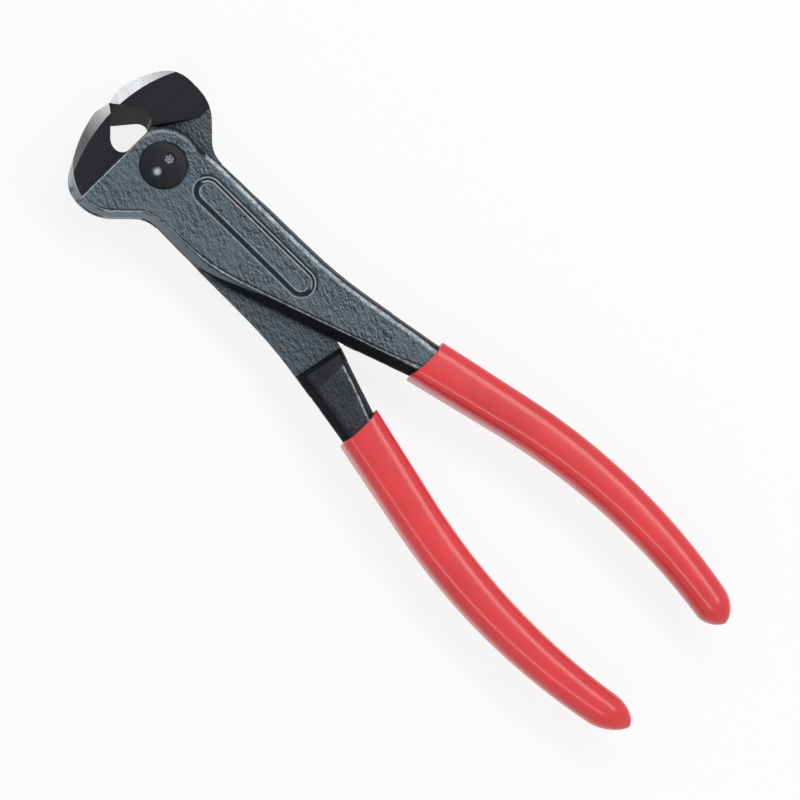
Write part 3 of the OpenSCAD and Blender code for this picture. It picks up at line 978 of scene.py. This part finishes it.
def lathe(profile, segments):
    """Closed mesh data of a profile of radius and height pairs turned about the pivot axis."""
    verts, faces, rings = [], [], []
    for r, z in profile:
        n = 1 if r == 0 else segments
        rings.append((len(verts), n))
        for k in range(n):
            a = 2 * math.pi * k / segments
            verts.append((r * math.cos(a), r * math.sin(a), z))
    for (a, na), (b, nb) in zip(rings, rings[1:]):
        for k in range(segments):
            j = (k + 1) % segments
            if na == 1:
                faces.append((a, b + k, b + j))
            elif nb == 1:
                faces.append((a + k, b, a + j))
            else:
                faces.append((a + k, b + k, b + j, a + j))
    return np.array(verts), faces


class NIPPERS_OT_rivet(bpy.types.Operator):
    """Build the pivot rivet with its staked front head"""

    bl_idname = "nippers.rivet"
    bl_label = "Pivot Rivet"

    def execute(self, context):
        s = sizes()
        rim = s.joint_t / 2 - s.head_sink
        seat = rim - s.head_t
        big, small = s.head_d / 2, s.rivet_d / 2
        dome = [(big * t, rim + s.head_crown * (1 - t * t)) for t in np.linspace(0, 0.97, 60)]
        lip = [(big - 0.04, rim - 0.03), (big, rim - 0.15)]
        half = [(0, dome[0][1]), *dome[1:], *lip, (big, seat), (small, seat)]
        verts, faces = lathe(half + [(r, -z) for r, z in reversed(half)], RIVET_POINTS)
        x, y, z = verts.T
        top = z > rim - 0.5
        marks = [np.hypot(x, y - sign * s.punch_gap / 2) / s.punch_r for sign in (1, -1)]
        for d in marks:
            dent = -s.punch_depth * np.exp(-(d ** 4))
            burr = 0.02 * np.exp(-(((d - 1.4) / 0.25) ** 2))
            z += np.where(top, dent + burr, 0)
        # A painted glint on uncoated steel in the lower punch mark, and uncoated dots in the upper one.
        bare = 0.95 * np.exp(-((marks[1] / 0.75) ** 4))
        dot_r = 0.3
        for k in range(7):
            # Six dots in a ring, with the seventh at its centre.
            a = 2 * math.pi * k / 6
            reach = 0.62 * s.punch_r * (k < 6)
            d = np.hypot(x - reach * math.cos(a), y - s.punch_gap / 2 - reach * math.sin(a)) / dot_r
            bare = np.maximum(bare, 0.9 * np.exp(-(d ** 2)))
        mesh = bpy.data.meshes.new("pivot_rivet_staked")
        mesh.from_pydata((verts * MM + PIVOT).tolist(), [], faces)
        store(mesh, "bare", np.where(top, bare, 0))
        mesh.materials.append(finish_of("Black rivet"))
        sharpen(mesh, STEEL_EDGE)
        obj = new_object("pivot_rivet_staked", mesh)
        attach(obj, "front")
        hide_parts("pivot_rivet")
        return {"FINISHED"}


def sleeve_tree():
    """Geometry group: sweeps a ring along the tool's axis, squares it and bends it into the handle's line."""
    tree, given, go = new_group(
        "Dipped Sleeve", {"Geometry": None, "Ring": 0.001, "Level": 0.0136, "Material": None},
        ("Geometry",), "GeometryNodeTree")

    def squared(value, full):
        """Bulges a round section towards a square one of a stored full size."""
        grown = calc(tree, "POWER", calc(tree, "ABSOLUTE", value), stored_number(tree, "power"))
        return times(tree, calc(tree, "SIGN", value), grown, times(tree, stored_number(tree, full), 0.5))

    ring = add(tree, "GeometryNodeCurvePrimitiveCircle", {"Resolution": 128, "Radius": given["Ring"]})
    line = add(tree, "GeometryNodeMeshToCurve", {"Mesh": given["Geometry"]})
    up = add(tree, "GeometryNodeSetCurveNormal", {"Curve": line.outputs[0]}, mode="Z_UP")
    sweep = add(tree, "GeometryNodeCurveToMesh",
                {"Curve": up.outputs[0], "Profile Curve": ring.outputs[0], "Fill Caps": True})
    at = add(tree, "ShaderNodeSeparateXYZ", {0: add(tree, "GeometryNodeInputPosition").outputs[0]}).outputs
    across = calc(tree, "DIVIDE", at[1], given["Ring"])
    above = calc(tree, "DIVIDE", calc(tree, "SUBTRACT", at[2], given["Level"]), given["Ring"])
    wide = squared(across, "width")
    hollow = times(tree, above, above, stored_number(tree, "cove"))
    leaning = calc(tree, "ADD", at[0], times(tree, wide, stored_number(tree, "lean")))
    x = calc(tree, "ADD", leaning, hollow)
    y = calc(tree, "ADD", wide, stored_number(tree, "bend"))
    z = calc(tree, "ADD", given["Level"], squared(above, "height"))
    bent = add(tree, "ShaderNodeCombineXYZ", {0: x, 1: y, 2: z}).outputs[0]
    done = add(tree, "GeometryNodeSetPosition", {"Geometry": sweep.outputs[0], "Position": bent})
    return put_out(tree, given, go, done.outputs[0])


def handle_y(s, x):
    """Offset of a handle's centre line from the long axis."""
    a = s.handle_angle
    bow_start = s.mouth_x + s.handle_straight
    mid = bow_start + s.bow_r * math.sin(a)
    top = s.mouth_y + s.handle_straight * math.tan(a) + s.bow_r * (1 - math.cos(a))
    straight = s.mouth_y + (x - s.mouth_x) * math.tan(a)
    bow = top - s.bow_r + np.sqrt(s.bow_r ** 2 - (x - mid) ** 2)
    return np.where(x < bow_start, straight, bow)


def build_sleeve(name, end, slant, rounding, blunt, sign):
    """A dipped sleeve swept along its handle."""
    s = sizes()
    start = s.mouth_x - s.lip
    # The section shrinks late along the sleeve, and its corners round off early.
    late, early, fullness, cove_run, tip_share = 1.3, 0.7, 0.64, 6, 0.02
    body = np.linspace(0.8, end - rounding - start, BODY_RINGS)
    tail = np.linspace(0, 1, TIP_RINGS)[1:]
    x = start + np.concatenate([LIP_BACK, body, body[-1] + rounding * np.sin(tail * math.pi / 2)])
    part = np.clip((x - s.mouth_x) / (s.rear_end - s.mouth_x), 0, 1)
    share = part ** late
    u = np.clip((x - (end - rounding)) / rounding, 0, 1)
    close = np.maximum(1 - u ** blunt, 0) ** fullness
    close[:len(LIP_SHARE)] = LIP_SHARE
    close[-1] = tip_share
    made_of = {
        "width": (s.sleeve_w + (s.end_w - s.sleeve_w) * share) * close * MM,
        "height": (s.sleeve_h + (s.end_h - s.sleeve_h) * share) * close * MM,
        "power": 2 / (s.mouth_square + (s.end_square - s.mouth_square) * part ** early),
        "cove": s.cove * (1 - rise(x, start, cove_run)) * MM,
        "lean": slant * u,
        "bend": sign * handle_y(s, x) * MM}
    path = np.stack([x, np.zeros_like(x), np.zeros_like(x)], 1) * MM + PIVOT
    mesh = bpy.data.meshes.new(name)
    mesh.from_pydata(path.tolist(), [(i, i + 1) for i in range(len(path) - 1)], [])
    for key, values in made_of.items():
        store(mesh, key, values)
    obj = new_object(name, mesh)
    made = run_nodes(obj, group_of("Dipped Sleeve", sleeve_tree), Ring=MM, Level=PIVOT[2],
                     Material=finish_of("Dipped red"))
    for key in made_of:
        if key in made.attributes:
            made.attributes.remove(made.attributes[key])
    sharpen(made, SLEEVE_EDGE)
    return obj


class NIPPERS_OT_sleeves(bpy.types.Operator):
    """Build the two dipped handle sleeves"""

    bl_idname = "nippers.sleeves"
    bl_label = "Handle Sleeves"

    def execute(self, context):
        s = sizes()
        plan = (("front", s.front_end, s.front_slant, s.front_round, s.front_blunt, 1),
                ("rear", s.rear_end, s.rear_slant, s.rear_round, s.rear_blunt, -1))
        for body, *shape in plan:
            obj = build_sleeve(f"{body}_sleeve", *shape)
            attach(obj, body)
            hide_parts(f"{body}_grip")
        return {"FINISHED"}


def lamp(name, place, target, width, depth, power):
    """A soft rectangular studio light, in metres and watts."""
    data = bpy.data.lights.new(name, "AREA")
    data.shape = "RECTANGLE"
    data.size, data.size_y = width, depth
    data.energy = power
    obj = new_object(name, data)
    obj.location = place
    obj.rotation_mode = "QUATERNION"
    obj.rotation_quaternion = (Vector(target) - Vector(place)).to_track_quat("-Z", "Y")


def light_studio(scene):
    """A world that looks white and lights softly, and two lamps for the sheen."""
    world = bpy.data.worlds.new("studio")
    scene.world = world
    world.use_nodes = True
    tree = world.node_tree
    tree.nodes.clear()
    soft = add(tree, "ShaderNodeBackground", {"Color": (0.94, 0.97, 1.0, 1), "Strength": 0.36})
    white = add(tree, "ShaderNodeBackground", {"Color": WHITE, "Strength": 1.0})
    mix = add(tree, "ShaderNodeMixShader", {0: seen_rays(tree), 1: soft.outputs[0], 2: white.outputs[0]})
    out = add(tree, "ShaderNodeOutputWorld")
    tree.links.new(mix.outputs[0], out.inputs[0])
    lamp("broad box", (0.0, 0.50, 1.10), target=(0, 0, 0), width=1.7, depth=0.28, power=8.5)
    lamp("front strip", (0.25, -0.70, 1.15), target=(0.05, 0, 0), width=1.1, depth=0.13, power=3.6)


def aim_camera(scene):
    """A long lens above the tool, turned so that the nose points to the photo's upper left."""
    turn, tilt, roll = 0.01598, 0.19033, 0.77600
    picture_width, pixels_per_metre = 800.0, 4029.64
    distance, sensor = 1.25505, 36.0
    target = Vector((PIVOT[0] + 0.08238, 0.00055, PIVOT[2]))
    camera = new_object("camera", bpy.data.cameras.new("camera"))
    scene.camera = camera
    back = Vector((math.sin(turn), -math.sin(tilt), 0))
    back.z = math.sqrt(1 - back.length_squared)
    along = (Vector((1, 0, 0)) - back * back.x).normalized()
    right = math.cos(roll) * along + math.sin(roll) * back.cross(along)
    turned = Matrix((right, back.cross(right), back)).transposed()
    camera.matrix_world = Matrix.Translation(target + back * distance) @ turned.to_4x4()
    camera.data.sensor_width = sensor
    camera.data.lens = sensor * pixels_per_metre * distance / picture_width
    camera.data.clip_start, camera.data.clip_end = 0.05, 20.0


class NIPPERS_OT_stage(bpy.types.Operator):
    """Build the floor, the lights and the camera"""

    bl_idname = "nippers.stage"
    bl_label = "Stage"

    def execute(self, context):
        scene = context.scene
        scene.view_settings.view_transform = "Standard"
        mesh = bpy.data.meshes.new("floor")
        corners = ((-1, -1), (1, -1), (1, 1), (-1, 1))
        mesh.from_pydata([(i * FLOOR_HALF, j * FLOOR_HALF, -FLOOR_DROP) for i, j in corners], [], [range(4)])
        mesh.materials.append(finish_of("Floor"))
        floor = new_object("floor", mesh)
        light_studio(scene)
        aim_camera(scene)
        return {"FINISHED"}


class NIPPERS_PT_panel(bpy.types.Panel):
    """Sizes, colours and build buttons"""

    bl_label = "End Cutting Nippers"
    bl_idname = "NIPPERS_PT_panel"
    bl_space_type = "VIEW_3D"
    bl_region_type = "UI"
    bl_category = "Nippers"

    def draw(self, context):
        layout = self.layout
        for cls in OPERATORS:
            layout.operator(cls.bl_idname)
        scene = context.scene
        for label, group in (("Sizes", scene.nipper_sizes), ("Colours", scene.nipper_colours)):
            box = layout.box()
            box.label(text=label)
            for key in group.__annotations__:
                box.prop(group, key)


OPERATORS = (NIPPERS_OT_front_lever, NIPPERS_OT_rear_lever, NIPPERS_OT_rivet, NIPPERS_OT_sleeves,
             NIPPERS_OT_stage)
CLASSES = (NipperSizes, NipperColours, *OPERATORS, NIPPERS_PT_panel)


def register():
    for cls in CLASSES:
        bpy.utils.register_class(cls)
    bpy.types.Scene.nipper_sizes = PointerProperty(type=NipperSizes)
    bpy.types.Scene.nipper_colours = PointerProperty(type=NipperColours)


def unregister():
    del bpy.types.Scene.nipper_colours
    del bpy.types.Scene.nipper_sizes
    for cls in reversed(CLASSES):
        bpy.utils.unregister_class(cls)


def main():
    register()
    bpy.ops.nippers.front_lever()
    bpy.ops.nippers.rear_lever()
    bpy.ops.nippers.rivet()
    bpy.ops.nippers.sleeves()
    bpy.ops.nippers.stage()


if __name__ == "__main__":
    main()
